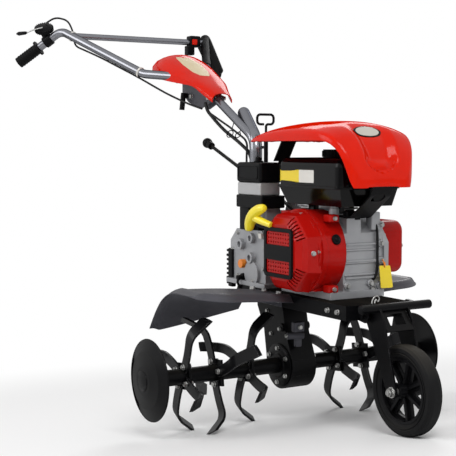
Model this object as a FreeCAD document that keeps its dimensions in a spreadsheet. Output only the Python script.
"""Petrol rotary tiller: engine and gearbox on a frame, a tined reel, a folding wheel and a handlebar.

Millimetres. The machine is drawn level in its own frame: the tine shaft's centre is the origin, +X is
forward, +Y is the machine's left and +Z is up. stand_and_centre() then pitches it nose down about the
tine shaft until the transport wheel and the tines stand on the same floor, with the middle of its outline
over the origin.
"""
import FreeCAD, Part
import math
import os
import re
import types

import Sketcher

Vector = FreeCAD.Vector
Rotation = FreeCAD.Rotation
Placement = FreeCAD.Placement
X_AXIS = Vector(1, 0, 0)
Y_AXIS = Vector(0, 1, 0)
Z_AXIS = Vector(0, 0, 1)

SIZES = (
    # stance
    ("nose_down", 7, "degrees the parked machine leans forward on its wheel"),
    # tine reel
    ("tip_radius", 155, "tine tips from the shaft's centre"),
    ("shaft_radius", 15, "tine shaft"),
    ("sleeve_radius", 21, "sleeves over the shaft"),
    ("running_gap", 0.05, "radial clearance of a shaft in its bore"),
    ("disc_y", 448, "rim of a side disc from the middle"),
    ("disc_radius", 104, "side disc"),
    ("disc_dish", 20, "depth of the side disc's dish"),
    ("disc_sheet", 3, "side disc's sheet"),
    ("set_inner_y", 142, "inner tine flange"),
    ("set_middle_y", 236, "middle tine flange"),
    ("set_outer_y", 330, "outer tine flange"),
    ("flange_half", 34, "half a square tine flange"),
    ("flange_sheet", 6, "tine flange"),
    ("tine_sheet", 6, "tine bar's thickness"),
    ("tine_width", 28, "tine bar's width"),
    ("tine_root", 22, "tine's root from the shaft's centre"),
    ("tine_bend_from", 95, "where a tine starts to turn sideways"),
    ("tine_bend_radius", 40, "sideways bend of a tine"),
    ("tine_bend_angle", 55, "sideways turn of a tine, degrees"),
    ("tine_hook_radius", 260, "curve of a tine in its plane of rotation"),
    # transport wheel
    ("wheel_reach", 483, "wheel axle ahead of the tine shaft"),
    ("wheel_radius", 108, "tyre's outside"),
    ("tyre_width", 44, "tyre"),
    ("rim_radius", 78, "tyre's inside"),
    ("rim_width", 34, "rim"),
    ("hub_radius", 17, "wheel hub"),
    ("hub_half", 30, "half the wheel hub's length"),
    ("axle_radius", 6, "wheel axle bolt"),
    ("spoke_count", 7, "rim spokes"),
    ("fork_half", 42, "middle of a fork arm from the wheel's plane"),
    ("fork_sheet", 5, "fork arm"),
    ("fold_x", 395, "fork's fold pin ahead of the tine shaft"),
    ("fold_z", 188, "fork's fold pin above the tine shaft"),
    ("fold_pin_radius", 6, "fork's fold pin"),
    ("bar_reach", 30, "front cross bar ahead of the fold pin"),
    ("bar_rise", 20, "front cross bar above the fold pin"),
    ("bar_half", 103, "half the front cross bar"),
    ("bar_shift", 12, "front cross bar's shift to the left"),
    ("bar_radius", 10.5, "front cross bar"),
    # frame
    ("frame_front", 372, "front of the frame"),
    ("frame_rear", -125, "rear of the frame"),
    ("frame_top", 210, "top of the frame, where the engine stands"),
    ("frame_height", 36, "frame rails"),
    ("frame_half", 95, "outside of a frame rail from the middle"),
    ("rail_width", 22, "frame rail"),
    ("ear_half", 58, "outside of a fold ear from the middle"),
    ("ear_sheet", 6, "fold ear"),
    # engine
    ("crank_x", 170, "crankshaft ahead of the tine shaft"),
    ("crank_z", 324, "crankshaft above the tine shaft"),
    ("blower_radius", 105, "blower housing"),
    ("blower_front", -93, "blower housing's outer end"),
    ("blower_back", -22, "blower housing's inner end"),
    ("recoil_front", -152, "recoil cover's outer face"),
    ("recoil_radius", 96, "recoil cover's foot"),
    ("panel_half", 64, "half the square panel on the recoil cover"),
    ("case_front", 262, "crankcase's front wall"),
    ("case_rear", 62, "crankcase's rear wall"),
    ("case_left", 102, "crankcase's left face"),
    ("case_top", 412, "crankcase's top"),
    ("case_base", 18, "engine foot's thickness"),
    ("cover_sheet", 14, "crankcase side cover"),
    ("tank_rear", 56, "fuel tank's rear"),
    ("tank_front", 330, "fuel tank's front"),
    ("tank_right", -84, "fuel tank's right side"),
    ("tank_left", 100, "fuel tank's left side"),
    ("tank_seam", 490, "fuel tank's seam"),
    ("tank_top", 560, "fuel tank's top"),
    ("tank_stand", 30, "gap between the crankcase and the fuel tank"),
    # gearbox
    ("gearbox_rear", -190, "upper gearbox's rear"),
    ("gearbox_front", -8, "upper gearbox's front"),
    ("gearbox_top", 362, "upper gearbox's top"),
    ("gearbox_foot", 210, "upper gearbox's flange"),
    ("gearbox_right", -78, "upper gearbox's right face"),
    ("gearbox_left", 62, "upper gearbox's left face"),
    ("cap_radius", 12, "gearbox oil cap"),
    ("leg_half", 38, "half the gearbox leg's thickness"),
    ("leg_radius", 64, "gearbox leg's round end"),
    ("hitch_bore", 6.5, "radius of the hitch pin's holes"),
    ("hitch_x", -232, "hitch pin behind the tine shaft"),
    ("hitch_z", 158, "hitch pin above the tine shaft"),
    ("hitch_half", 24, "outside of a hitch ear from the middle"),
    ("hitch_sheet", 8, "hitch ear"),
    # column and handlebar
    ("column_x", -171, "swivel axis from the tine shaft"),
    ("column_foot", 505, "foot of the swivelling column"),
    ("stud_radius", 9, "stud the column turns on"),
    ("column_radius", 12.5, "column tube"),
    ("elbow_radius", 18, "thick column tube"),
    ("pivot_x", -388, "handlebar's pivot from the tine shaft"),
    ("pivot_z", 731, "handlebar's pivot above the tine shaft"),
    ("handle_radius", 13.5, "handle tube"),
    ("crossbar_radius", 10, "crossbar"),
    ("crossbar_x", -915, "crossbar from the tine shaft"),
    ("grip_radius", 18, "rubber grip"),
    ("boot_radius", 17, "rubber boot around the left handle's bend"),
    ("grip_length", 86, "rubber grip"),
    ("pivot_radius", 5, "handlebar's pivot bolt"),
    # sheet metal and hood
    ("fender_outer", 350, "fender's outer edge from the middle"),
    ("fender_sheet", 2.5, "fender's sheet"),
    ("fender_top", 208, "fender's top beside the frame"),
    ("fender_front", 158, "fender's front"),
    ("fender_rise", 3.8, "degrees by which a fender rises outwards"),
    ("hood_sheet", 3.5, "hood's wall"),
    ("hood_half", 130, "half the hood's width"),
    ("hood_skirt", 50, "hood's lower edge, below its highest line"),
    ("hood_crown", 652, "hood's highest line"),
    ("hood_nose", 392, "hood's front"),
    ("hood_fall", 162, "foot of the hood's front, below its highest line"),
    ("air_rear", -122, "air cleaner's rear"),
    ("air_front", 0, "front of the air cleaner's cover"),
    ("air_right", -102, "air cleaner's right side"),
    ("air_left", -32, "left side of the air cleaner's cover"),
    ("air_post", 62, "air cleaner's post above the gearbox"),
    ("air_case", 34, "height of the air cleaner's case"),
    ("air_band", 34, "height of the air cleaner's band"),
    ("air_cover", 54, "height of the air cleaner's cover"),
    ("cable_radius", 3, "control cable"),
    ("bundle_radius", 5, "sleeved pair of cables"),
)

doc = FreeCAD.newDocument("rotary_tiller")
sheet = doc.addObject("Spreadsheet::Sheet", "Sizes")
for row, (alias, value, note) in enumerate(SIZES, start=1):
    sheet.set(f"A{row}", note)
    sheet.set(f"B{row}", str(value))
    sheet.setAlias(f"B{row}", alias)
doc.recompute()
s = types.SimpleNamespace(**{alias: float(sheet.get(alias)) for alias, _, _ in SIZES})
ALIASES = {alias for alias, _, _ in SIZES}
nodes = {}


def bound(expression):
    """Return the expression with each alias pointed at the sheet."""
    return re.sub(r"[a-z]+(_[a-z]+)+", lambda word: "Sizes." + word.group(0), expression)


# ---- helpers: sketches and bodies ----------------------------------------------------------------

def new_sketch(body, name, plane, height="0"):
    """Return an empty sketch on one of the body's origin planes, raised by height along its normal."""
    sketch = body.newObject("Sketcher::SketchObject", name)
    datum = [feature for feature in body.Origin.OriginFeatures if feature.Role == plane][0]
    sketch.AttachmentSupport = [(datum, "")]
    sketch.MapMode = "FlatFace"
    sketch.setExpression("AttachmentOffset.Base.z", bound(height))
    return sketch


def draw_polygon(sketch, corners):
    """Draw a closed polygon whose corners are pairs of expressions."""
    count = len(corners)
    first = sketch.GeometryCount
    ring = [Vector(50 * math.cos(2 * math.pi * i / count), 50 * math.sin(2 * math.pi * i / count), 0)
            for i in range(count)]
    for i in range(count):
        sketch.addGeometry(Part.LineSegment(ring[i], ring[(i + 1) % count]), False)
    for i in range(count):
        sketch.addConstraint(Sketcher.Constraint("Coincident", first + i, 2, first + (i + 1) % count, 1))
    for i, corner in enumerate(corners):
        for kind, expression in zip(("DistanceX", "DistanceY"), corner):
            index = sketch.addConstraint(Sketcher.Constraint(kind, -1, 1, first + i, 1, 1.0))
            sketch.setExpression(f"Constraints[{index}]", bound(expression))


def draw_circle(sketch, x, y, radius):
    """Draw a circle whose centre and radius are expressions."""
    geometry = sketch.addGeometry(Part.Circle(Vector(1, 1, 0), Z_AXIS, 5), False)
    for kind, expression in (("DistanceX", x), ("DistanceY", y)):
        index = sketch.addConstraint(Sketcher.Constraint(kind, -1, 1, geometry, 3, 1.0))
        sketch.setExpression(f"Constraints[{index}]", bound(expression))
    index = sketch.addConstraint(Sketcher.Constraint("Radius", geometry, 5.0))
    sketch.setExpression(f"Constraints[{index}]", bound(radius))


def new_body(name):
    """Return an empty body that will be exported under its name."""
    body = doc.addObject("PartDesign::Body", name)
    body.Label = name
    return body


def pad(body, sketch, length):
    """Pad the sketch away from its plane; an XZ sketch grows towards +Y."""
    feature = body.newObject("PartDesign::Pad", sketch.Name + "_pad")
    feature.Profile = sketch
    feature.setExpression("Length", bound(length))
    feature.Reversed = sketch.AttachmentSupport[0][0].Role == "XZ_Plane"
    return feature


def along_y(y):
    """Return the plane height of an XZ sketch that lies at y (its normal points towards -Y)."""
    return f"-({y})"


def padded_profile(name, corners, y_from, length, holes=()):
    """A body padded along +Y from a side-view polygon, with round holes through it."""
    body = new_body(name)
    sketch = new_sketch(body, name + "_profile", "XZ_Plane", along_y(y_from))
    draw_polygon(sketch, corners)
    for x, z, radius in holes:
        draw_circle(sketch, x, z, radius)
    pad(body, sketch, length)
    return body


def turned_about_y(name, profile, x="0", z="0"):
    """A body turned about a line along Y through (x, z); its profile lists (radius, y) corners."""
    body = new_body(name)
    sketch = new_sketch(body, name + "_section", "XY_Plane", z)
    sketch.setExpression("AttachmentOffset.Base.x", bound(x))
    draw_polygon(sketch, profile)
    feature = body.newObject("PartDesign::Revolution", name + "_turn")
    feature.Profile = sketch
    feature.ReferenceAxis = (sketch, ["V_Axis"])
    feature.Angle = 360
    return body


# ---- helpers: primitives and plain shapes --------------------------------------------------------

def box(name, x, y, z):
    """A Part box between pairs of expressions along each axis."""
    item = doc.addObject("Part::Box", name)
    for size, (low, high) in zip(("Length", "Width", "Height"), (x, y, z)):
        item.setExpression(size, bound(f"({high})-({low})"))
    for axis, (low, _) in zip("xyz", (x, y, z)):
        item.setExpression("Placement.Base." + axis, bound(low))
    return item


def cylinder(name, radius, length, x, y, z, turn=None):
    """A Part cylinder that starts at (x, y, z) and runs along +Z, or where turn points it."""
    item = doc.addObject("Part::Cylinder", name)
    item.setExpression("Radius", bound(radius))
    item.setExpression("Height", bound(length))
    if turn is not None:
        item.Placement = Placement(Vector(), turn)
    for axis, expression in zip("xyz", (x, y, z)):
        item.setExpression("Placement.Base." + axis, bound(expression))
    return item


def fused(name, parts):
    """One Part fuse of several objects."""
    item = doc.addObject("Part::MultiFuse", name)
    item.Shapes = parts
    item.Label = name
    return item


def cut(name, base, tool):
    """One Part cut."""
    item = doc.addObject("Part::Cut", name)
    item.Base = base
    item.Tool = tool
    item.Label = name
    return item


def feature(name, shape):
    """A Part::Feature that holds a shape made from the sheet's sizes."""
    item = doc.addObject("Part::Feature", name)
    item.Shape = shape
    item.Label = name
    return item


TO_Y = Rotation(Vector(0, 0, 1), Vector(0, 1, 0))


def bent_wire(points, radii):
    """A wire of straight runs joined by tangent arcs; radii has one value, or one for each inner point."""
    points = [Vector(*point) for point in points]
    if not isinstance(radii, (list, tuple)):
        radii = [radii] * (len(points) - 2)
    edges = []
    start = points[0]
    for i in range(1, len(points) - 1):
        to_last = (points[i - 1] - points[i]).normalize()
        to_next = (points[i + 1] - points[i]).normalize()
        half = to_last.getAngle(to_next) / 2
        back = radii[i - 1] / math.tan(half)
        enter = points[i] + to_last * back
        leave = points[i] + to_next * back
        middle_way = (to_last + to_next).normalize()
        centre = points[i] + middle_way * (radii[i - 1] / math.sin(half))
        middle = centre - middle_way * radii[i - 1]
        if start.distanceToPoint(enter) > 1e-4:
            edges.append(Part.LineSegment(start, enter).toShape())
        edges.append(Part.Arc(enter, middle, leave).toShape())
        start = leave
    edges.append(Part.LineSegment(start, points[-1]).toShape())
    return Part.Wire(edges)


def tube(points, radius, bend):
    """A round bar along a bent wire."""
    wire = bent_wire(points, bend)
    first = Vector(*points[0])
    ring = Part.Wire(Part.Circle(first, Vector(*points[1]) - first, radius).toShape())
    solid = wire.makePipeShell([ring], True, False)
    return solid


def cord_radii(points):
    """The largest arcs that a cord's runs allow: a share of the shorter run over tan(half the turn)."""
    spots = [Vector(*point) for point in points]
    radii = []
    for i in range(1, len(spots) - 1):
        before = spots[i] - spots[i - 1]
        after = spots[i + 1] - spots[i]
        turn = before.getAngle(after)
        radii.append(0.45 * min(before.Length, after.Length) / math.tan(turn / 2))
    return radii


def prism(corners, axis, low, high):
    """A straight prism from a polygon: 'x' takes (y, z) corners, 'y' takes (x, z) and 'z' takes (x, y)."""
    place = {"x": lambda a, b: Vector(low, a, b), "y": lambda a, b: Vector(a, low, b),
             "z": lambda a, b: Vector(a, b, low)}[axis]
    way = {"x": X_AXIS, "y": Y_AXIS, "z": Z_AXIS}[axis]
    spots = [place(a, b) for a, b in corners]
    return Part.Face(Part.makePolygon(spots + spots[:1])).extrude(way * (high - low))


def bar(start, end, radius):
    """A straight round bar between two points."""
    start = Vector(*start)
    way = Vector(*end) - start
    return Part.makeCylinder(radius, way.Length, start, way)


def flat_plate(corners, thickness, y_middle):
    """A flat plate in a plane of constant y, from (x, z) corners."""
    return prism(corners, "y", y_middle - thickness / 2, y_middle + thickness / 2)


def rounded_box(low, high, radius):
    """A box with all its edges rounded."""
    low = Vector(*low)
    size = Vector(*high) - low
    solid = Part.makeBox(size.x, size.y, size.z, low)
    return solid.makeFillet(radius, solid.Edges)


# ---- tine reel -----------------------------------------------------------------------------------

def tine(side):
    """One tine along +X that turns sideways to the given side (+1 or -1) near its tip."""
    angle = math.radians(s.tine_bend_angle)
    bend_end = (s.tine_bend_from + s.tine_bend_radius * math.sin(angle),
                side * s.tine_bend_radius * (1 - math.cos(angle)))
    reach = s.tip_radius
    tip = (bend_end[0] + reach * math.cos(angle), bend_end[1] + side * reach * math.sin(angle))
    corner = (s.tine_bend_from + s.tine_bend_radius * math.tan(angle / 2), 0)
    spine = bent_wire([(s.tine_root, 0, -s.tip_radius), (corner[0], 0, -s.tip_radius),
                       (tip[0], tip[1], -s.tip_radius)], s.tine_bend_radius)
    band = spine.makeOffset2D(s.tine_sheet / 2, 0, False, False, False)
    if not band.isClosed():
        raise ValueError("the tine's band is open")
    strip = Part.Face(band).extrude(Z_AXIS * 2 * s.tip_radius)
    hook = [Part.makeCylinder(s.tine_hook_radius + out, 4 * s.tip_radius,
                              Vector(s.tine_root, -2 * s.tip_radius, s.tine_hook_radius), Y_AXIS)
            for out in (s.tine_width / 2, -s.tine_width / 2)]
    reel = Part.makeCylinder(s.tip_radius, 4 * s.tip_radius, Vector(0, -2 * s.tip_radius, 0), Y_AXIS)
    root = Part.makeBox(2 * s.tip_radius, 4 * s.tip_radius, 2 * s.tip_radius,
                        Vector(s.tine_root, -2 * s.tip_radius, -s.tip_radius))
    return strip.common(hook[0]).cut(hook[1]).common(reel).common(root)


def tine_tip_angle():
    """The angle by which a tine's tip is ahead of its root, in degrees."""
    run = s.tip_radius * 0.97 - s.tine_root
    rise = s.tine_hook_radius - math.sqrt(s.tine_hook_radius ** 2 - run ** 2)
    return math.degrees(math.atan2(rise, run + s.tine_root))


def tine_sets(side):
    """The tines of one side: three sets of four, every second set turned by 45 degrees."""
    shapes = {way: tine(way) for way in (1, -1)}
    solids = []
    for index, flange_y in enumerate((s.set_inner_y, s.set_middle_y, s.set_outer_y)):
        seat_y = side * (flange_y + (s.flange_sheet + s.tine_sheet) / 2)
        for quarter in range(4):
            way = 1 if quarter % 2 else -1
            solid = shapes[way].copy()
            turn = 22.5 + 45 * (index % 2) + 90 * quarter + tine_tip_angle()
            solid.rotate(Vector(), Y_AXIS, turn)
            solid.translate(Vector(0, seat_y, 0))
            solids.append(solid)
    return Part.makeCompound(solids)


def tine_shaft():
    """The tine shaft with its sleeves and square flanges."""
    shaft = bar((0, -s.disc_y, 0), (0, s.disc_y, 0), s.shaft_radius)
    pieces = []
    for side in (1, -1):
        near = side * (s.leg_half + 11)
        pieces.append(bar((0, near, 0), (0, side * (s.disc_y - s.disc_dish - s.disc_sheet), 0),
                          s.sleeve_radius))
        for flange_y in (s.set_inner_y, s.set_middle_y, s.set_outer_y):
            half = s.flange_half
            pieces.append(flat_plate([(-half, -half), (half, -half), (half, half), (-half, half)],
                                     s.flange_sheet, side * flange_y))
    return shaft.multiFuse(pieces).removeSplitter()


nodes["tine_shaft"] = feature("tine_shaft", tine_shaft())
nodes["tines_right"] = feature("tines_right", tine_sets(-1))
nodes["tines_left"] = feature("tines_left", tine_sets(1))
for side_name, sign in (("disc_right", "-"), ("disc_left", "")):
    nodes[side_name] = turned_about_y(side_name, [
        ("shaft_radius", f"{sign}(disc_y - disc_sheet)"), ("disc_radius", f"{sign}(disc_y - disc_dish)"),
        ("disc_radius", f"{sign}(disc_y - disc_dish + disc_sheet)"),
        ("disc_radius * 0.7", f"{sign}(disc_y - disc_dish * 0.3)"),
        ("disc_radius * 0.35", f"{sign}(disc_y + disc_sheet * 0.3)"),
        ("shaft_radius", f"{sign}(disc_y + disc_sheet)")])


# ---- how the machine stands ----------------------------------------------------------------------

def lowest(shapes):
    """The lowest height that any of the shapes reaches."""
    return min(shape.optimalBoundingBox().ZMin for shape in shapes)


LEAN = Rotation(Y_AXIS, s.nose_down)
SWIVEL_Y = 3
STUD_GAP = 0.3
rest_height = -lowest([nodes["tines_right"].Shape, nodes["tines_left"].Shape])
lean = math.radians(s.nose_down)
wheel_z = (s.wheel_radius - rest_height + s.wheel_reach * math.sin(lean)) / math.cos(lean)
WHEEL_CENTRE = Vector(s.wheel_reach, 0, wheel_z)

# ---- transport wheel -----------------------------------------------------------------------------

nodes["tyre"] = turned_about_y("tyre", [
    ("rim_radius", "-tyre_width * 0.36"), ("wheel_radius * 0.86", "-tyre_width / 2"),
    ("wheel_radius * 0.93", "-tyre_width * 0.48"), ("wheel_radius * 0.98", "-tyre_width * 0.36"),
    ("wheel_radius", "-tyre_width * 0.2"), ("wheel_radius", "tyre_width * 0.2"),
    ("wheel_radius * 0.98", "tyre_width * 0.36"), ("wheel_radius * 0.93", "tyre_width * 0.48"),
    ("wheel_radius * 0.86", "tyre_width / 2"), ("rim_radius", "tyre_width * 0.36")])

rim = turned_about_y("rim_band", [
    ("rim_radius - 7", "-rim_width / 2"), ("rim_radius", "-rim_width / 2"),
    ("rim_radius", "rim_width / 2"), ("rim_radius - 7", "rim_width / 2")])
hub = turned_about_y("rim_hub", [
    ("axle_radius + running_gap", "-hub_half"), ("hub_radius", "-hub_half"),
    ("hub_radius", "hub_half"), ("axle_radius + running_gap", "hub_half")])


def spokes():
    """Flat wedge spokes between the hub and the rim, with a thin web behind them."""
    inner = s.hub_radius - 2
    outer = s.rim_radius - 6
    web = bar((0, -3, 0), (0, 3, 0), outer).cut(bar((0, -3, 0), (0, 3, 0), inner))
    half = math.pi / s.spoke_count
    for index in range(int(s.spoke_count)):
        middle = 2 * math.pi * index / s.spoke_count
        corners = [(r * math.cos(middle + a), r * math.sin(middle + a))
                   for r, a in ((inner + 10, 0.0), (outer - 5, -half * 0.62), (outer - 5, half * 0.62))]
        web = web.cut(prism(corners, "y", -4, 4))
    ribs = []
    for index in range(int(s.spoke_count)):
        middle = 2 * math.pi * (index + 0.5) / s.spoke_count
        rib = Part.makeBox(outer - inner, 24, 7, Vector(inner, -12, -3.5))
        rib.rotate(Vector(), Y_AXIS, math.degrees(middle))
        ribs.append(rib)
    return web.multiFuse(ribs)


spoke_part = feature("rim_spokes", spokes())
nodes["rim"] = fused("rim", [rim, hub, spoke_part])


def axle_bolt():
    """The axle bolt with its head, nut and washers outside the fork's arms."""
    outside = s.fork_half + s.fork_sheet / 2
    bolt = bar((0, -outside - 14, 0), (0, outside + 10, 0), s.axle_radius)
    head = prism([(11 * math.cos(a), 11 * math.sin(a)) for a in (k * math.pi / 3 for k in range(6))],
                 "y", outside + 2, outside + 9)
    nut = prism([(10 * math.cos(a), 10 * math.sin(a)) for a in (k * math.pi / 3 for k in range(6))],
                "y", -outside - 10, -outside - 2)
    washers = [bar((0, side * outside, 0), (0, side * (outside + 2), 0), 13) for side in (1, -1)]
    inside = s.fork_half - s.fork_sheet / 2
    spacers = [bar((0, side * (s.hub_half + 0.5), 0), (0, side * inside, 0), 10) for side in (1, -1)]
    return bolt.multiFuse([head, nut] + washers + spacers)


nodes["axle_bolt"] = feature("axle_bolt", axle_bolt())


def wheel_fork():
    """The fork's two arms, its web with a window and the front cross bar."""
    x, z = s.fold_x, s.fold_z
    bar_x = x + s.bar_reach
    bar_z = z + s.bar_rise
    centre = WHEEL_CENTRE
    arms = []
    for side in (1, -1):
        corners = [(x - 15, z + 4), (x - 8, z + 14), (x + 4, z + 16), (bar_x - 8, bar_z + 6),
                   (bar_x + 8, bar_z + 4),
                   (bar_x + 26, z - 8), (centre.x + 17, centre.z - 4), (centre.x + 8, centre.z - 15),
                   (centre.x - 8, centre.z - 15), (centre.x - 18, centre.z - 4), (x - 2, z - 30),
                   (x - 14, z - 9)]
        arm = flat_plate(corners, s.fork_sheet, side * s.fork_half)
        arm = arm.cut(bar((centre.x, -100, centre.z), (centre.x, 100, centre.z), s.axle_radius))
        arm = arm.cut(bar((x, -100, z), (x, 100, z), s.fold_pin_radius + s.running_gap))
        arms.append(arm)
    inside = s.fork_half - s.fork_sheet / 2
    slope = Vector(s.bar_reach, 0, -s.bar_reach * 1.3).normalize()
    start = Vector(bar_x - 4, 0, bar_z + 1)
    end = start + slope * 66
    web = prism([(start.x, start.z), (end.x, end.z), (end.x - 4, end.z - 3), (start.x - 4, start.z - 3)], "y",
                -inside, inside)
    near = start + slope * 20
    far = start + slope * 50
    window = [(near.x + 20, near.z + 16), (far.x + 20, far.z + 16), (far.x - 20, far.z - 16),
              (near.x - 20, near.z - 16)]
    web = web.cut(prism(window, "y", -inside + 16, inside - 16))
    cross_bar = bar((bar_x, s.bar_shift - s.bar_half, bar_z), (bar_x, s.bar_shift + s.bar_half, bar_z),
                    s.bar_radius)
    return arms[0].multiFuse([arms[1], web, cross_bar])


nodes["wheel_fork"] = feature("wheel_fork", wheel_fork())

# ---- frame and gearbox ---------------------------------------------------------------------------

frame_body = new_body("frame")
plan = new_sketch(frame_body, "frame_plan", "XY_Plane", "frame_top - frame_height")
draw_polygon(plan, [("frame_rear", "-frame_half"), ("frame_front", "-frame_half"),
                    ("frame_front", "frame_half"), ("frame_rear", "frame_half")])
draw_polygon(plan, [("case_rear + 10", "-(frame_half - rail_width)"),
                    ("case_front - 20", "-(frame_half - rail_width)"),
                    ("case_front - 20", "frame_half - rail_width"),
                    ("case_rear + 10", "frame_half - rail_width")])
pad(frame_body, plan, "frame_height")
nodes["frame"] = frame_body


def fold_ears():
    """Two ears in front of the frame that carry the fork's fold pin, with the pin and its ring clip."""
    back = s.frame_front
    x, z = s.fold_x, s.fold_z
    pieces = []
    for side in (1, -1):
        corners = [(back, s.frame_top - 2), (x - 10, z + 18), (x + 3, z + 17), (x + 12, z + 10), (x + 16, z),
                   (x + 12, z - 12), (x + 2, z - 18), (back, s.frame_top - s.frame_height)]
        pieces.append(flat_plate(corners, s.ear_sheet, side * (s.ear_half - s.ear_sheet / 2)))
    pin = bar((s.fold_x, -s.ear_half - 10, s.fold_z), (s.fold_x, s.ear_half + 8, s.fold_z), s.fold_pin_radius)
    head = bar((s.fold_x, s.ear_half, s.fold_z), (s.fold_x, s.ear_half + 5, s.fold_z), s.fold_pin_radius + 5)
    return pieces[0].multiFuse([pieces[1], pin, head])


nodes["fold_ears"] = feature("fold_ears", fold_ears())


def gearbox_leg():
    """The cast leg between the upper gearbox and the tine shaft."""
    top = s.frame_top - s.frame_height
    side = [(-112, top), (8, top), (16, 150), (30, 90), (s.leg_radius * 0.95, 22),
            (s.leg_radius * 0.95, -22), (-s.leg_radius * 0.95, -22), (-s.leg_radius * 1.02, 20), (-78, 90),
            (-112, 150)]
    leg = prism(side, "y", -s.leg_half, s.leg_half)
    leg = leg.fuse(bar((0, -s.leg_half, 0), (0, s.leg_half, 0), s.leg_radius))
    flange = prism([(-122, -48), (18, -48), (18, 48), (-122, 48)], "z", top - 12, top)
    boss = bar((14, -s.leg_half - 6, 104), (14, s.leg_half + 6, 104), 11)
    ribs = [bar((0, way * s.leg_half, 0), (0, way * (s.leg_half + 5), 0),
                s.leg_radius * 0.6) for way in (1, -1)]
    leg = leg.multiFuse([flange, boss] + ribs)
    bore = bar((0, -200, 0), (0, 200, 0), s.shaft_radius + s.running_gap)
    return leg.cut(bore).removeSplitter()


nodes["gearbox_leg"] = feature("gearbox_leg", gearbox_leg())

gearbox_case = padded_profile("gearbox_case", [
    ("gearbox_rear + 6", "gearbox_foot"), ("gearbox_front", "gearbox_foot"),
    ("gearbox_front", "gearbox_top - 22"),
    ("gearbox_front - 20", "gearbox_top"), ("gearbox_rear + 34", "gearbox_top"),
    ("gearbox_rear", "gearbox_top - 34"), ("gearbox_rear", "gearbox_foot + 40")],
    "gearbox_right", "gearbox_left - gearbox_right")
gearbox_flange = box("gearbox_flange", ("gearbox_rear", "gearbox_front + 16"),
                     ("gearbox_right - 14", "gearbox_left + 14"), ("gearbox_foot", "gearbox_foot + 12"))
BEARING_BOSSES = (("boss_rear", -127, 320, 15), ("boss_high", -72, 340, 14), ("boss_front", -75, 286, 15))
bosses = [cylinder("boss_belly", "34", "10", "-70", "gearbox_right - 8", "gearbox_foot + 34", TO_Y)]
for name, x, z, radius in BEARING_BOSSES:
    boss = cylinder(name, str(radius), "14", str(x), "gearbox_right - 12", str(z), TO_Y)
    bore = cylinder(name + "_bore", f"{radius} * 0.55", "9", str(x), "gearbox_right - 13", str(z), TO_Y)
    bosses.append(cut(name + "_bored", boss, bore))
nodes["gearbox_upper"] = fused("gearbox_upper", [gearbox_case, gearbox_flange] + bosses)
nodes["gearbox_cap"] = turned_about_y("gearbox_cap", [
    ("0", "gearbox_right - 14"), ("cap_radius", "gearbox_right - 14"), ("cap_radius", "gearbox_right"),
    ("0", "gearbox_right")], "gearbox_rear + 74", "gearbox_foot + 57")


def hitch():
    """The rear hitch: a plate on the gearbox with two bored ears."""
    back = s.gearbox_rear - 10
    plate = Part.makeBox(10, 80, 84, Vector(back, -40, s.gearbox_foot - 2))
    ears = []
    for side in (1, -1):
        corners = [(back, s.gearbox_foot + 60), (back, s.gearbox_foot - 2), (back + 10, s.gearbox_foot - 2),
                   (back + 10, s.gearbox_foot - 14), (s.hitch_x - 4, s.hitch_z - 18),
                   (s.hitch_x - 18, s.hitch_z - 12), (s.hitch_x - 18, s.hitch_z + 14)]
        ears.append(flat_plate(corners, s.hitch_sheet, side * (s.hitch_half - s.hitch_sheet / 2)))
    bracket = plate.multiFuse(ears)
    return bracket.cut(bar((s.hitch_x, -100, s.hitch_z), (s.hitch_x, 100, s.hitch_z), s.hitch_bore))


nodes["hitch_bracket"] = feature("hitch_bracket", hitch())


def column_bracket():
    """The steel post behind the engine that carries the swivelling column on a stud."""
    foot = s.gearbox_top
    post = Part.makeBox(46, 62, s.column_foot - 6 - foot, Vector(s.column_x - 15, SWIVEL_Y - 31, foot))
    head = Part.makeCylinder(36, 12, Vector(s.column_x, SWIVEL_Y, s.column_foot - 12 - STUD_GAP), Z_AXIS)
    bore = Part.makeCylinder(s.stud_radius + s.running_gap, 60,
                             Vector(s.column_x, SWIVEL_Y, s.column_foot - 50))
    roof = Part.makeBox(200, 200, 50, Vector(s.column_x - 100, -100, s.column_foot - STUD_GAP))
    return post.fuse(head).cut(roof).cut(bore)


nodes["column_bracket"] = feature("column_bracket", column_bracket())


def gear_lever():
    """The gear lever's bent rod with its knob and ball."""
    spots = [Vector(-150, -42, s.gearbox_top), Vector(-150, -42, 509), Vector(-385, -38, 596)]
    rod = tube(spots, 5, 24)
    way = (spots[2] - spots[1]).normalize()
    knob = Part.makeCylinder(11, 16, spots[2] - way * 20, way)
    ball = Part.makeSphere(15, spots[2] + way * 7, way)
    return rod.multiFuse([knob, ball])


nodes["gear_lever"] = feature("gear_lever", gear_lever())

# ---- engine --------------------------------------------------------------------------------------

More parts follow.
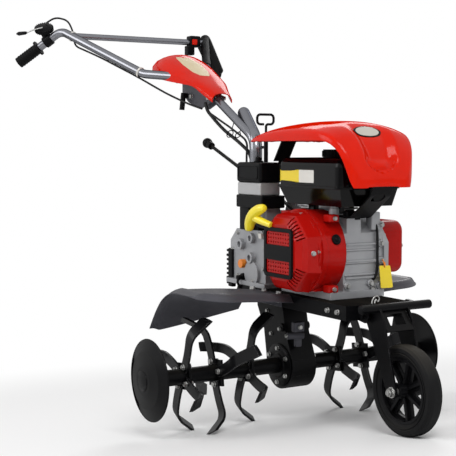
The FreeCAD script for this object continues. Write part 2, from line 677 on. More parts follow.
case_block = padded_profile("case_block", [
    ("case_rear", "frame_top"), ("case_front", "frame_top"), ("case_front", "case_top - 40"),
    ("case_front - 34", "case_top"), ("case_rear + 20", "case_top"), ("case_rear", "case_top - 20")],
    "blower_back", "case_left - blower_back")
case_foot = box("case_foot", ("case_rear - 10", "case_front + 8"), ("blower_back - 44", "frame_half + 6"),
                ("frame_top", "frame_top + case_base"))
case_ribs = [box(f"case_rib_{i}", ("case_front", "case_front + 5"), ("blower_back + 6", "case_left - 4"),
                 (f"frame_top + {48 + 42 * i}", f"frame_top + {53 + 42 * i}")) for i in range(3)]
case_lug = box("case_lug", ("case_front - 48", "case_front"), ("-12", "32"), ("case_top - 40", "case_top"))
nodes["crankcase"] = fused("crankcase", [case_block, case_foot, case_lug] + case_ribs)
nodes["crankcase_cover"] = padded_profile("crankcase_cover", [
    ("case_rear + 14", "frame_top + 22"), ("case_front - 2", "frame_top + 22"),
    ("case_front + 6", "frame_top + 60"),
    ("case_front + 6", "case_top - 66"), ("case_front - 24", "case_top - 26"),
    ("case_rear + 30", "case_top - 26")],
    "case_left", "cover_sheet")


def cylinder_head():
    """The leaning cylinder with its cooling fins and head, behind the crankcase."""
    barrel = Part.makeBox(96, 84, 64, Vector(0, -14, 0))
    fins = [Part.makeBox(3, 96, 84, Vector(12 + 9 * i, -20, -10)) for i in range(9)]
    head = Part.makeBox(22, 88, 74, Vector(-14, -16, -5))
    solid = barrel.multiFuse(fins + [head])
    solid.rotate(Vector(), Y_AXIS, 20)
    solid.translate(Vector(s.case_rear - 84, 10, s.case_top - 34))
    return solid.cut(Part.makeBox(300, 300, 300, Vector(s.case_rear, -100, s.case_top - 200)))


nodes["cylinder_head"] = feature("cylinder_head", cylinder_head())


def blower_housing():
    """The round blower housing with its flat foot and stepped rim."""
    body = bar((s.crank_x, s.blower_front, s.crank_z), (s.crank_x, s.blower_back, s.crank_z), s.blower_radius)
    rim = bar((s.crank_x, s.blower_front, s.crank_z), (s.crank_x, s.blower_front + 14, s.crank_z),
              s.blower_radius + 3)
    foot = Part.makeBox(120, s.blower_back - s.blower_front - 8, 60,
                        Vector(s.crank_x - 60, s.blower_front + 8, s.crank_z - s.blower_radius + 1))
    top = Part.makeBox(150, s.blower_back - s.blower_front - 20, 70,
                       Vector(s.crank_x - 110, s.blower_front + 20, s.crank_z + 28))
    floor = Part.makeBox(600, 400, 100, Vector(-100, -300, s.frame_top + s.case_base - 100.0))
    return body.multiFuse([rim, foot, top]).cut(floor)


nodes["blower_housing"] = feature("blower_housing", blower_housing())


def octagon(half, y):
    """An octagonal wire around the crankshaft, half wide from its middle to a side."""
    short = half * 0.46
    ring = [(half, short), (short, half), (-short, half), (-half, short),
            (-half, -short), (-short, -half), (short, -half), (half, -short)]
    spots = [Vector(s.crank_x + x, y, s.crank_z + z) for x, z in ring]
    return Part.makePolygon(spots + spots[:1])


def rounded_square(half, y_low, y_high, radius):
    """A square block around the crankshaft with its four corners rounded."""
    block = Part.makeBox(2 * half, y_high - y_low, 2 * half, Vector(s.crank_x - half, y_low,
                                                                    s.crank_z - half))
    along_y = [edge for edge in block.Edges if abs(edge.tangentAt(edge.FirstParameter).y) > 0.9]
    return block.makeFillet(radius, along_y)


def recoil_cover():
    """The eight-sided recoil cover with cooling slots, and the perforated plate on its face."""
    rings = [octagon(s.recoil_radius + 3, s.blower_front), octagon(s.recoil_radius - 3, s.recoil_front + 22),
             octagon(s.panel_half + 22, s.recoil_front + 10), octagon(s.panel_half + 6, s.recoil_front)]
    body = Part.makeLoft(rings, True, True)
    lip = Part.makeCylinder(s.recoil_radius + 6, 8, Vector(s.crank_x, s.blower_front, s.crank_z), -Y_AXIS)
    plate = rounded_square(s.panel_half - 12, s.recoil_front - 3, s.recoil_front + 4, 6)
    solid = body.multiFuse([lip, plate])
    cuts = []
    for middle in (45, -45, 135, 225):
        for step in range(-3, 4):
            slot = Part.makeBox(27, 16, 4, Vector(s.panel_half + 9, s.recoil_front - 4, -2))
            slot.rotate(Vector(0, 0, 0), Y_AXIS, -(middle + step * 6.5))
            slot.translate(Vector(s.crank_x, 6, s.crank_z))
            cuts.append(slot)
    for row in (-46, -36, -26, 26, 36, 46):
        for column in range(-4, 5):
            cuts.append(bar((s.crank_x + column * 11, s.recoil_front - 5, s.crank_z + row),
                            (s.crank_x + column * 11, s.recoil_front + 2, s.crank_z + row), 2.5))
    return solid.cut(Part.makeCompound(cuts))


nodes["recoil_cover"] = feature("recoil_cover", recoil_cover())


def recoil_panel():
    """The dark frame on the recoil cover's face with the plain bar across it."""
    frame = rounded_square(s.panel_half - 2, s.recoil_front - 6, s.recoil_front, 12)
    frame = frame.cut(rounded_square(s.panel_half - 11, s.recoil_front - 9, s.recoil_front + 3, 6))
    across = Part.makeBox(2 * s.panel_half - 16, 3, 38, Vector(s.crank_x - s.panel_half + 8,
                                                               s.recoil_front - 6,
                                                              s.crank_z - 19))
    return frame.fuse(across)


nodes["recoil_panel"] = feature("recoil_panel", recoil_panel())


def starter_grip():
    """The starter grip: a fat crescent on a short stem, with its rope's stub."""
    seat = Vector(s.crank_x - 50, s.recoil_front + 2, s.crank_z + 58)
    hold = seat + Vector(-78, -18, 24)
    way = (hold - seat).normalize()
    upper = hold + Vector(70, 4, 30)
    lower = hold + Vector(4, 4, -40)
    crescent = tube([tuple(upper), tuple(hold + Vector(20, -2, 34)), tuple(hold + Vector(-10, -4, 0)),
                     tuple(lower)],
                    s.grip_radius * 0.66, [22, 22])
    ends = [Part.makeSphere(s.grip_radius * 0.66, spot) for spot in (upper, lower)]
    stem = Part.makeCone(7, 10, (hold - seat).Length, seat, way)
    rope = bar(tuple(seat - way * 14), tuple(seat), 3)
    solid = crescent.multiFuse(ends + [stem, rope])
    return solid.cut(nodes["recoil_cover"].Shape).cut(nodes["recoil_panel"].Shape)


nodes["starter_grip"] = feature("starter_grip", starter_grip())


def fuel_tank():
    """The pressed fuel tank: rounded upper half, seam flange, tapered lower half and three feet."""
    upper = rounded_box((s.tank_rear, s.tank_right, s.tank_seam - 30),
                        (s.tank_front, s.tank_left, s.tank_top), 22)
    upper = upper.common(Part.makeBox(600, 600, 200, Vector(-100, -300, s.tank_seam)))
    lip = 5
    seam = Part.makeBox(s.tank_front - s.tank_rear + 2 * lip, s.tank_left - s.tank_right + 2 * lip, 6,
                        Vector(s.tank_rear - lip, s.tank_right - lip, s.tank_seam - 5))
    upright = [edge for edge in seam.Edges if abs(edge.tangentAt(edge.FirstParameter).z) > 0.9]
    seam = seam.makeFillet(22, upright)
    top_ring = [(s.tank_rear + 4, s.tank_right + 4), (s.tank_front - 4, s.tank_right + 4),
                (s.tank_front - 4, s.tank_left - 4), (s.tank_rear + 4, s.tank_left - 4)]
    foot_ring = [(s.tank_rear + 26, s.tank_right + 16), (s.tank_front - 14, s.tank_right + 16),
                 (s.tank_front - 14, s.tank_left - 14), (s.tank_rear + 26, s.tank_left - 14)]
    tank_foot = s.case_top + s.tank_stand
    rings = []
    for ring, height in ((top_ring, s.tank_seam - 4), (foot_ring, tank_foot)):
        spots = [Vector(x, y, height) for x, y in ring]
        rings.append(Part.makePolygon(spots + spots[:1]))
    lower = Part.makeLoft(rings, True, True)
    feet = [Part.makeBox(22, 16, s.tank_stand + 4, Vector(x, y, s.case_top))
            for x, y in ((100, -14), (100, 70), (196, 28))]
    return upper.multiFuse([seam, lower] + feet)


nodes["fuel_tank"] = feature("fuel_tank", fuel_tank())


def fuel_cap():
    """The ribbed fuel cap."""
    centre = Vector(176, 8, s.tank_top)
    cap = Part.makeCylinder(26, 21, centre)
    ribs = []
    for index in range(20):
        rib = Part.makeBox(4, 4, 16, Vector(24, -2, 2))
        rib.rotate(Vector(), Z_AXIS, index * 18)
        rib.translate(centre)
        ribs.append(rib)
    return cap.multiFuse(ribs)


nodes["fuel_cap"] = feature("fuel_cap", fuel_cap())
AIR_FOOT = s.gearbox_top + s.air_post
AIR_SEAT = AIR_FOOT + s.air_case
AIR_RIM = AIR_SEAT + s.air_band
AIR_TOP = AIR_RIM + s.air_cover
nodes["air_cleaner_cover"] = feature("air_cleaner_cover", rounded_box(
    (s.air_rear, s.air_right, AIR_RIM), (s.air_front, s.air_left, AIR_TOP), 9))
nodes["air_cleaner_band"] = feature("air_cleaner_band", rounded_box(
    (s.air_rear + 3, s.air_right + 3, AIR_SEAT), (s.air_front - 3, s.air_left - 3, AIR_RIM), 4))


def air_cleaner_base():
    """The air cleaner's case with the post that stands on the gearbox and its breather elbow."""
    case = rounded_box((s.air_rear, s.air_right, AIR_FOOT), (s.air_front + 10, s.air_left + 4, AIR_SEAT), 4)
    post = Part.makeBox(70, 35, s.air_post + 6, Vector(s.air_rear + 4, s.gearbox_right + 2, s.gearbox_top))
    elbow = tube([(-30, -96, AIR_FOOT + 4), (-30, -96, AIR_FOOT - 26), (-8, -96, AIR_FOOT - 40),
                  (26, -90, AIR_FOOT - 44)], 11, 14)
    return case.multiFuse([post, elbow])


nodes["air_cleaner_base"] = feature("air_cleaner_base", air_cleaner_base())
nodes["carburettor"] = feature("carburettor", Part.makeBox(32, 44, 46, Vector(-40, -76, 378)).multiFuse(
    [bar((-24, -32, 404), (-24, -10, 404), 14), Part.makeCylinder(16, 16, Vector(-24, -52, 364), Z_AXIS)]
).cut(nodes["cylinder_head"].Shape))


def muffler():
    """The silencer box with its louvred guard and outlet, on the engine's left."""
    shell = rounded_box((-52, 92, 390), (66, 158, 462), 14)
    guard = Part.makeBox(96, 4, 54, Vector(-41, 156, 399))
    slots = [Part.makeBox(70, 10, 4, Vector(-28, 153, 407 + 10 * i)) for i in range(4)]
    neck = bar((8, 86.2, 420), (8, 96, 420), 16)
    outlet = bar((-52, 125, 440), (-66, 125, 440), 9)
    return shell.multiFuse([guard, neck, outlet]).cut(Part.makeCompound(slots))


nodes["muffler"] = feature("muffler", muffler())


def belt_cover():
    """The cover over the belt between the engine and the gearbox: square in front, with rounded corners."""
    rear, front, low, high = -174, 228, 262, 396
    inside, outside = 122, 200
    solid = prism([(rear, low - 30), (front - 90, low - 8), (front, low), (front, high), (96, high),
                   (62, high - 20),
                   (rear, high - 22)], "y", inside, outside)
    across = [edge for edge in solid.Edges if abs(edge.tangentAt(edge.FirstParameter).y) > 0.9]
    ends = [edge for edge in across if edge.Vertexes[0].X < rear + 1 or edge.Vertexes[0].X > front - 1]
    solid = solid.makeFillet(28, ends)
    outer = [edge for edge in solid.Edges if min(v.Y for v in edge.Vertexes) > outside - 1]
    bearing = bar((-100, s.gearbox_left, 302), (-100, inside, 302), 40)
    return solid.makeFillet(14, outer).fuse(bearing)


nodes["belt_cover"] = feature("belt_cover", belt_cover())


# Each ring of the hood: behind the nose, narrower than its widest place, below its highest line.
HOOD_RINGS = ((394, 12, 46), (380, 6, 32), (352, 2, 14), (292, 0, 4), (212, 0, 0), (130, 0, 2),
              (78, 4, 11), (46, 13, 27), (24, 25, 52), (10, 38, 84), (2, 52, 116))
HOOD_EAVE = s.hood_crown - s.hood_skirt
HOOD_CHIN = s.hood_crown - s.hood_fall
HOOD_OUTLINE = ((1, 0), (1, 0.38), (0.985, 0.68), (0.9, 0.87), (0.66, 0.965), (0.32, 0.995), (0, 1))


def arched_ring(x, low, high, half, middle, outline):
    """One arched cross-section: a straight floor and a curve through the outline's (out, up) shares."""
    rise = high - low
    floor = Part.LineSegment(Vector(x, middle - half, low), Vector(x, middle + half, low)).toShape()
    both_sides = list(outline) + [(-out, up) for out, up in reversed(outline[:-1])]
    curve = Part.BSplineCurve()
    curve.interpolate([Vector(x, middle + half * out, low + rise * up) for out, up in both_sides])
    return Part.Wire([floor, curve.toShape()])


def hood_form(inset):
    """The hood's outer form, drawn in from every side by inset."""
    rings = []
    for behind, narrower, lower in HOOD_RINGS:
        x = s.hood_nose - behind
        way = 1 if x < s.hood_nose / 2 else -1
        rings.append(arched_ring(x + way * inset, HOOD_CHIN - 4 - inset, s.hood_crown - lower - inset,
                                 s.hood_half - narrower - inset, 0, HOOD_OUTLINE))
    return Part.makeLoft(rings, True, False)


def hood():
    """The hood: a thin red shell, open below, whose sides sweep down to the chin."""
    shell = hood_form(0).cut(hood_form(s.hood_sheet))
    nose = s.hood_nose
    edge = Part.BSplineCurve()
    edge.interpolate([Vector(nose - behind, -200, z) for behind, z in (
        (86, HOOD_EAVE), (54, HOOD_EAVE - 7), (32, HOOD_EAVE - 29), (19, HOOD_EAVE - 64),
        (10, HOOD_CHIN + 18), (6, HOOD_CHIN))])
    spots = [Vector(x, -200, z) for x, z in (
        (nose - 6, HOOD_CHIN), (nose + 20, HOOD_CHIN), (nose + 20, s.hood_crown + 20),
        (-20, s.hood_crown + 20), (-20, HOOD_EAVE), (nose - 86, HOOD_EAVE))]
    side_view = Part.Wire([edge.toShape()] + Part.makePolygon(spots).Edges)
    return shell.common(Part.Face(side_view).extrude(Y_AXIS * 400))


nodes["hood"] = feature("hood", hood())


def band_shape(points, bends, thickness, y_low, y_high):
    """A bent strip of sheet, drawn from the side and as wide as the two y values."""
    spine = bent_wire([(x, y_low, z) for x, z in points], bends)
    outline = spine.makeOffset2D(thickness / 2, 0, False, False, False)
    return Part.Face(outline).extrude(Y_AXIS * (y_high - y_low))


def hood_strut():
    """The flat strut from the column's post up to the inside of the hood, notched beside the air cleaner."""
    back = s.column_x + 31 + 2.2
    crown = s.hood_crown
    strip = band_shape([(back, 432), (back, 474), (-62, 488), (22, crown - 45), (54, crown - 15),
                        (92, crown - 9)], [8, 20, 20, 20], 4, -46, 0)
    notch = Part.makeBox(300, 100, 549, Vector(-200, -129, 0))
    return strip.cut(notch).cut(nodes["hood"].Shape)


def hood_bracket():
    """The slotted strip from the crankcase's lug up into the hood's nose."""
    seat = s.case_top + 2.2
    nose = s.hood_nose
    knee = s.case_top + 58
    top = s.hood_crown - 96
    strip = band_shape([(s.case_front - 40, seat), (290, seat), (nose - 26, knee),
                        (nose - 12, knee + (top - knee) * 0.372), (nose - 11, top)],
                       [20, 20, 20], 4, -22, 40)
    slot_middle = s.case_top + 52
    slot = Part.makeBox(300, 22, 16, Vector(200, -4, slot_middle - 8))
    ends = [Part.makeCylinder(8, 300, Vector(200, y, slot_middle), X_AXIS) for y in (-4, 18)]
    return strip.cut(slot.multiFuse(ends)).cut(nodes["hood"].Shape)


nodes["hood_strut"] = feature("hood_strut", hood_strut())
nodes["hood_bracket"] = feature("hood_bracket", hood_bracket())


def fender(side):
    """A fender of bent sheet over one side's tines, rising outwards, with a flange on the frame's rail."""
    low, high = sorted((side * s.frame_half, side * s.fender_outer))
    top = s.fender_top - s.fender_sheet / 2
    shell = band_shape([(s.fender_front, top - 26), (s.fender_front - 17, top), (-20, top), (-95, top - 37),
                        (-150, top - 127)], [14, 70, 70], s.fender_sheet, low, high)
    plan = Part.makeBox(s.fender_front + 180, high - low, 300, Vector(-178, low, 0))
    corner = [edge for edge in plan.Edges if abs(edge.tangentAt(edge.FirstParameter).z) > 0.9
              and abs(edge.Vertexes[0].Y - side * s.fender_outer) < 1 and edge.Vertexes[0].X > 0]
    shell = shell.common(plan.makeFillet(58, corner))
    shell.rotate(Vector(0, side * s.frame_half, s.fender_top), X_AXIS, side * s.fender_rise)
    flange_y = min(side * s.frame_half, side * (s.frame_half + s.fender_sheet))
    flange = Part.makeBox(150, s.fender_sheet, 34, Vector(-52, flange_y, top - 34))
    return shell.fuse(flange)


nodes["fender_right"] = feature("fender_right", fender(-1))
nodes["fender_left"] = feature("fender_left", fender(1))

# ---- column --------------------------------------------------------------------------------------

COLUMN_Y = -11
POST_Y = -7
COLUMN_CORNER_Z = 609
SLOPE = Vector(s.pivot_x - s.column_x, 0, s.pivot_z - COLUMN_CORNER_Z).normalize()


def column_tube():
    """The column's slim tube with its foot plate, its stud and the eye at the handlebar's pivot."""
    foot = Part.makeCylinder(33, 8, Vector(s.column_x, SWIVEL_Y, s.column_foot), Z_AXIS)
    stud = Part.makeCylinder(s.stud_radius, 40, Vector(s.column_x, SWIVEL_Y, s.column_foot - 38), Z_AXIS)
    pivot = Vector(s.pivot_x, COLUMN_Y, s.pivot_z)
    end = pivot - SLOPE * 10
    pipe = tube([(s.column_x, COLUMN_Y, s.column_foot + 4), (s.column_x, COLUMN_Y, COLUMN_CORNER_Z),
                 tuple(end)], s.column_radius, 62)
    eye = bar((pivot.x, COLUMN_Y - 11, pivot.z), (pivot.x, COLUMN_Y + 11, pivot.z), 14)
    bolt = bar((pivot.x, -100, pivot.z), (pivot.x, 100, pivot.z), s.pivot_radius + s.running_gap)
    return foot.multiFuse([stud, pipe, eye]).cut(bolt)


nodes["column_tube"] = feature("column_tube", column_tube())


def column_post():
    """The thick tube around the slim one's foot, which bends away behind it and ends in a rounded cap."""
    corner = Vector(s.column_x, POST_Y, COLUMN_CORNER_Z)
    end = Vector(-296, 27, 690)
    way = (end - corner).normalize()
    end = end - way * 10
    pipe = tube([(s.column_x, POST_Y, s.column_foot + 8), tuple(corner), tuple(end)], s.elbow_radius, 62)
    cap = Part.makeSphere(s.elbow_radius, end)
    clips = [Part.makeBox(22, 9, 8, Vector(s.column_x + 10, 4, z)) for z in (536, 582)]
    rod = bar((s.column_x + 29, 8, 500), (s.column_x + 29, 8, 700), 6.1)
    return pipe.multiFuse([cap] + clips).cut(rod).cut(nodes["column_tube"].Shape)


nodes["column_post"] = feature("column_post", column_post())


def lock_rod():
    """The swivel lock's sleeved rod with its wire loop."""
    x = s.column_x + 29
    rod = tube([(x, 8, s.column_foot + 8), (x, 8, 650), (x, 33, 650), (x, 33, 677), (x, -21, 677),
                (x, -21, 650),
                (x, 0, 650)], 3.5, [7, 10, 10, 10, 10])
    return rod.fuse(bar((x, 8, s.column_foot + 8), (x, 8, 612), 6))


nodes["lock_rod"] = feature("lock_rod", lock_rod())


BUNDLE = [(-403, -39, 718), (-391, -39, 694), (-352, -32, 662), (-311, -25, 633), (-259, -16, 606),
          (-210, -6, 574), (-199, -2, 545), (-197, 0, 514)]
THIN = [(-376, -45, 690), (-338, -39, 672), (-267, -29, 640), (-201, -16, 603), (-202, -19, 560),
        (-196, -21, 514)]


def cable_guides():
    """Two wire rings beside the column tube that hold the cables, each on a short stem."""
    rings = []
    for course, first, share, drop, radius in ((BUNDLE, 3, 0.42, -3, 11), (THIN, 2, 0.4, 4, 9)):
        low = Vector(*course[first])
        high = Vector(*course[first + 1])
        centre = low * (1 - share) + high * share - Z_AXIS * drop
        ring = Part.makeTorus(radius, 1.4, centre, high - low)
        reach = centre + Vector(0.3, 0.3, 0.9).normalize() * radius
        along = (reach.x + 8 - s.column_x) / SLOPE.x
        seat = Vector(s.column_x, COLUMN_Y, COLUMN_CORNER_Z) + SLOPE * along
        stem = bar(tuple(reach), tuple(seat), 1.4).cut(nodes["column_tube"].Shape)
        rings.append(ring.fuse(stem))
    return Part.makeCompound(rings)


nodes["cable_guides"] = feature("cable_guides", cable_guides())
nodes["cable_bundle"] = feature("cable_bundle", Part.makeCompound(
    [tube(BUNDLE, s.bundle_radius, cord_radii(BUNDLE)), tube(THIN, s.cable_radius, cord_radii(THIN))]))

# ---- handlebar -----------------------------------------------------------------------------------

BEND = Vector(-950, 270, 965)
GRIP_END = Vector(-1042, 380, 865)
HANDLE_FOOT = Vector(-505, 48, 798)
HANDLE_KNEE = Vector(-660, 115, 814)


def sided(spot, side):
    """A point of the left handle, or its mirror image on the right."""
    return Vector(spot.x, side * spot.y, spot.z)


def handle_tube(side):
    """One handle tube from the console to the grip's end."""
    spots = [tuple(sided(spot, side)) for spot in (HANDLE_FOOT, HANDLE_KNEE, BEND, GRIP_END)]
    return tube(spots, s.handle_radius, [90, 38])


nodes["handle_right"] = feature("handle_right", handle_tube(-1))
nodes["handle_left"] = feature("handle_left", handle_tube(1))
share = (s.crossbar_x - HANDLE_KNEE.x) / (BEND.x - HANDLE_KNEE.x)
CROSSBAR = Vector(s.crossbar_x, HANDLE_KNEE.y + share * (BEND.y - HANDLE_KNEE.y),
                  HANDLE_KNEE.z + share * (BEND.z - HANDLE_KNEE.z))
crossbar = bar((CROSSBAR.x, -CROSSBAR.y, CROSSBAR.z), (CROSSBAR.x, CROSSBAR.y, CROSSBAR.z), s.crossbar_radius)
crossbar = crossbar.cut(nodes["handle_right"].Shape).cut(nodes["handle_left"].Shape)
nodes["crossbar"] = feature("crossbar", crossbar)


def grip(side):
    """A ribbed rubber grip with its collar, over the handle tube's end."""
    end = sided(GRIP_END, side)
    way = (sided(BEND, side) - end).normalize()
    sleeve = Part.makeCylinder(s.grip_radius, s.grip_length, end - way * 4, way)
    collar = Part.makeCylinder(s.grip_radius + 7, 6, end + way * (s.grip_length - 10), way)
    bore = Part.makeCylinder(s.handle_radius, s.grip_length + 20, end, way)
    ribs = [Part.makeTorus(s.grip_radius, 1.2, end + way * (8 + 9 * i), way) for i in range(7)]
    return sleeve.multiFuse([collar] + ribs).cut(bore)


def bend_boot():
    """The rubber boot that carries on from the left grip around the handle's bend."""
    before = (HANDLE_KNEE - BEND).normalize()
    after = (GRIP_END - BEND).normalize()
    length = (GRIP_END - BEND).Length - s.grip_length + 8
    boot = tube([tuple(BEND + before * 31), tuple(BEND), tuple(BEND + after * length)], s.boot_radius, 38)
    return boot.cut(nodes["handle_left"].Shape)


nodes["grip_right"] = feature("grip_right", grip(-1))
nodes["grip_left"] = feature("grip_left", grip(1).fuse(bend_boot()))


def on_grip_side(side, along, up, out):
    """A point beside the grip's straight: along it from the bend, above it and outwards from the machine."""
    start = sided(BEND, side)
    way = (sided(GRIP_END, side) - start).normalize()
    above = (Z_AXIS - way * way.z).normalize()
    across = way.cross(above) * side
    return start + way * along + above * up + across * out


def throttle_control():
    """The throttle's clamp, ribbed quadrant and thumb lever on the right handle."""
    way = on_grip_side(-1, 1, 0, 0) - on_grip_side(-1, 0, 0, 0)
    across = on_grip_side(-1, 0, 0, 1) - on_grip_side(-1, 0, 0, 0)
    clamp = Part.makeCylinder(s.handle_radius + 5, 26, on_grip_side(-1, 38, 0, 0), way)
    quadrant = Part.makeCylinder(27, 16, on_grip_side(-1, 48, 33, -8), across)
    neck = Part.makeCylinder(14, 30, on_grip_side(-1, 50, 8, 0), Z_AXIS)
    teeth = []
    for index in range(9):
        tooth = Part.makeCylinder(2.2, 18, on_grip_side(-1, 48 + 27 * math.sin((index - 4) * 0.28),
                                                        33 + 27 * math.cos((index - 4) * 0.28), -9), across)
        teeth.append(tooth)
    pivot = on_grip_side(-1, 48, 33, 0)
    tip = pivot + Vector(-42, -62, -18)
    lever = bar(tuple(pivot + across * 9), tuple(tip), 3)
    reach = Vector(-42, -62, -18).normalize()
    knob = Part.makeCone(5, 8, 32, tip - reach * 8, reach)
    tube_space = Part.makeCylinder(s.handle_radius, 200, on_grip_side(-1, -40, 0, 0), way)
    return clamp.multiFuse([quadrant, neck, lever, knob] + teeth).cut(tube_space)


nodes["throttle_control"] = feature("throttle_control", throttle_control())


def clutch_lever():
    """The clutch lever: a wide trough under the left grip, hung from a ring on the boot."""
    start = on_grip_side(1, 36, -8, 0)
    way = on_grip_side(1, 1, 0, 0) - on_grip_side(1, 0, 0, 0)
    above = on_grip_side(1, 0, 1, 0) - on_grip_side(1, 0, 0, 0)
    across = way.cross(above)
    length, outer, inner = 160, 29, 26
    trough = Part.makeCylinder(outer, length).cut(Part.makeCylinder(inner, length))
    trough = trough.cut(Part.makeBox(100, 100, length, Vector(4, -50, 0)))
    ring = Part.makeCylinder(s.boot_radius + 5, 18, Vector(8, 0, 4))
    web = Part.makeBox(20, 12, 18, Vector(-outer + 1, -6, 4))
    lever = trough.multiFuse([ring, web])
    lever.Placement = Placement(start, Rotation(above, across, way, "ZXY"))
    ends = [tuple(on_grip_side(1, -10, 0, 0)), tuple(on_grip_side(1, 190, 0, 0))]
    space = tube(ends, s.boot_radius + 0.1, [])
    return lever.cut(space).cut(nodes["grip_left"].Shape)


nodes["clutch_lever"] = feature("clutch_lever", clutch_lever())


def stop_switch():
    """The engine stop switch's housing on the crossbar's left end."""
    middle = Vector(CROSSBAR.x, CROSSBAR.y - 47, CROSSBAR.z)
    housing = rounded_box((middle.x - 17, middle.y - 20, middle.z - 16), (middle.x + 17, middle.y + 20,
                                                                          middle.z + 22), 5)
    lower = rounded_box((middle.x - 12, middle.y - 30, middle.z - 44),
                        (middle.x + 14, middle.y - 2, middle.z - 12), 4)
    space = bar((middle.x, middle.y - 60, middle.z), (middle.x, middle.y + 30, middle.z), s.crossbar_radius)
    return housing.fuse(lower).cut(space)


nodes["stop_switch"] = feature("stop_switch", stop_switch())


def clamp_plates():
    """The height clamp's two side plates and the seat plate that carries both handle tubes."""
    side = [(s.pivot_x + 14, s.pivot_z - 4), (s.pivot_x + 4, s.pivot_z + 12), (-470, 770), (-486, 782.5),
            (-566, 782.5),
            (-566, 752), (-528, 724), (-452, 700), (s.pivot_x - 14, s.pivot_z - 14),
            (s.pivot_x + 6, s.pivot_z - 14)]
    plates = [flat_plate(side, 4, COLUMN_Y + way * 15) for way in (1, -1)]
    seat_plate = Part.makeBox(66, 100, 4, Vector(-566, -50, 782.5))
    bolt = bar((s.pivot_x, COLUMN_Y - 24, s.pivot_z), (s.pivot_x, COLUMN_Y + 24, s.pivot_z), s.pivot_radius)
    heads = [bar((s.pivot_x, COLUMN_Y + way * 17, s.pivot_z), (s.pivot_x, COLUMN_Y + way * 23, s.pivot_z), 9)
             for way in (1, -1)]
    spacer = bar((-520, COLUMN_Y - 17, 752), (-520, COLUMN_Y + 17, 752), 6)
    saddles = Part.makeBox(30, 100, 10, Vector(-552, -50, 784))
    solid = plates[0].multiFuse([plates[1], seat_plate, bolt, spacer, saddles] + heads)
    return solid.cut(nodes["handle_right"].Shape).cut(nodes["handle_left"].Shape)


nodes["clamp_plates"] = feature("clamp_plates", clamp_plates())
knob_y = COLUMN_Y - 17
nodes["clamp_knob"] = feature("clamp_knob", bar((-536, knob_y, 744), (-536, knob_y - 16, 744), 8).fuse(
    bar((-536, knob_y - 12, 752), (-540, knob_y - 16, 700), 8)))

CONSOLE_RINGS = ((-358, 717, 745, 34, -7), (-392, 737, 766, 43, -6), (-440, 766, 791, 58, -3),
                 (-490, 776, 818, 70, 0),
                 (-556, 787, 853, 82, 0), (-620, 800, 876, 86, 0), (-680, 820, 870, 74, 0),
                 (-706, 834, 858, 50, 0))
CONSOLE_OUTLINE = ((1, 0), (0.98, 0.36), (0.88, 0.66), (0.62, 0.9), (0.3, 0.985), (0, 1))


def console_cover():
    """The red console cover: an arched shell, open below, with holes for the handle tubes."""
    wall = 3.5
    outer = Part.makeLoft([arched_ring(*ring, CONSOLE_OUTLINE) for ring in CONSOLE_RINGS], True, False)
    rings = [arched_ring(x, low - 12, high - wall, half - wall, middle, CONSOLE_OUTLINE)
             for x, low, high, half, middle in CONSOLE_RINGS]
    inner = Part.makeLoft(rings, True, False)
    inner.translate(Vector(wall, 0, 0))
    shell = outer.cut(inner)
    for side in (-1, 1):
        shell = shell.cut(tube([tuple(sided(spot, side)) for spot in (HANDLE_FOOT, HANDLE_KNEE, BEND)],
                               s.handle_radius + 1, 90))
    return shell


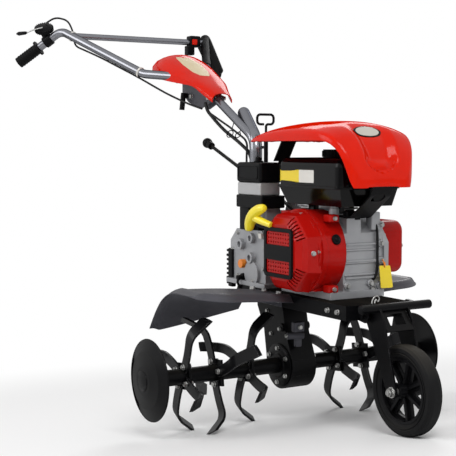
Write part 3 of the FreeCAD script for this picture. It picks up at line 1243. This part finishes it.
nodes["console_cover"] = feature("console_cover", console_cover())
THROTTLE_RUN = [(-984, -311, 990), (-966, -284, 1010), (-945, -249, 1000), (-937, -236, 968),
                (-930, -234, 941), (-899, -243, 913), (-850, -219, 892), (-799, -195, 870),
                (-748, -167, 843), (-701, -142, 819), (-657, -120, 796), (-607, -105, 773),
                (-558, -90, 751), (-508, -76, 732), (-459, -61, 714), (-409, -47, 700)]
throttle_cable = tube(THROTTLE_RUN, s.cable_radius, cord_radii(THROTTLE_RUN))
nodes["throttle_cable"] = feature("throttle_cable", throttle_cable.cut(nodes["throttle_control"].Shape))

# ---- placing, checking and writing ---------------------------------------------------------------

WHEEL_NODES = ("tyre", "rim", "axle_bolt")
REEL_NODES = ("tine_shaft", "tines_right", "tines_left", "disc_right", "disc_left")


def machine_placement(name):
    """Where a node lies in the machine's frame before it is moved over the origin."""
    if name in REEL_NODES:
        return Placement(Vector(0, 0, rest_height), Rotation())
    lean_placement = Placement(Vector(0, 0, rest_height), LEAN)
    if name in WHEEL_NODES:
        return lean_placement.multiply(Placement(WHEEL_CENTRE, Rotation()))
    return lean_placement


def stand_and_centre():
    """Place each node so that the machine stands at z = 0 with its outline's middle over the origin."""
    doc.recompute()
    bounds = FreeCAD.BoundBox()
    placed = {}
    for name, item in nodes.items():
        local = item.Shape.copy()
        local.Placement = machine_placement(name).multiply(item.Placement)
        placed[name] = local.Placement
        bounds.add(local.optimalBoundingBox())
    shift = Placement(Vector(-bounds.Center.x, -bounds.Center.y, 0), Rotation())
    for name, item in nodes.items():
        for path, _ in list(item.ExpressionEngine):
            if "Placement" in path:
                item.setExpression(path, None)
        item.Placement = shift.multiply(placed[name])
    doc.recompute()
    return shift.Base


def check_all():
    """Raise an error if any object failed or any node's shape is not a valid solid."""
    for item in doc.Objects:
        if "Invalid" in item.State or "Error" in item.State:
            raise RuntimeError(f"{item.Name} failed: {item.State}")
    for name, item in nodes.items():
        if item.Shape.isNull() or not item.Shape.isValid() or not item.Shape.Solids:
            raise RuntimeError(f"{name} has no valid solid")


origin_shift = stand_and_centre()
check_all()
os.makedirs("parts", exist_ok=True)
for name, item in nodes.items():
    item.Label = name
    item.Shape.exportStep(f"parts/{name}.step")
print("machine frame's origin at", tuple(round(v, 3) for v in (origin_shift.x, origin_shift.y, rest_height)),
      "wheel centre", tuple(round(v, 3) for v in WHEEL_CENTRE), "nodes", len(nodes))
for label, points in (("cable_bundle", BUNDLE), ("thin cable", THIN), ("throttle_cable", THROTTLE_RUN)):
    print(label, "radii", [round(radius, 1) for radius in cord_radii(points)])
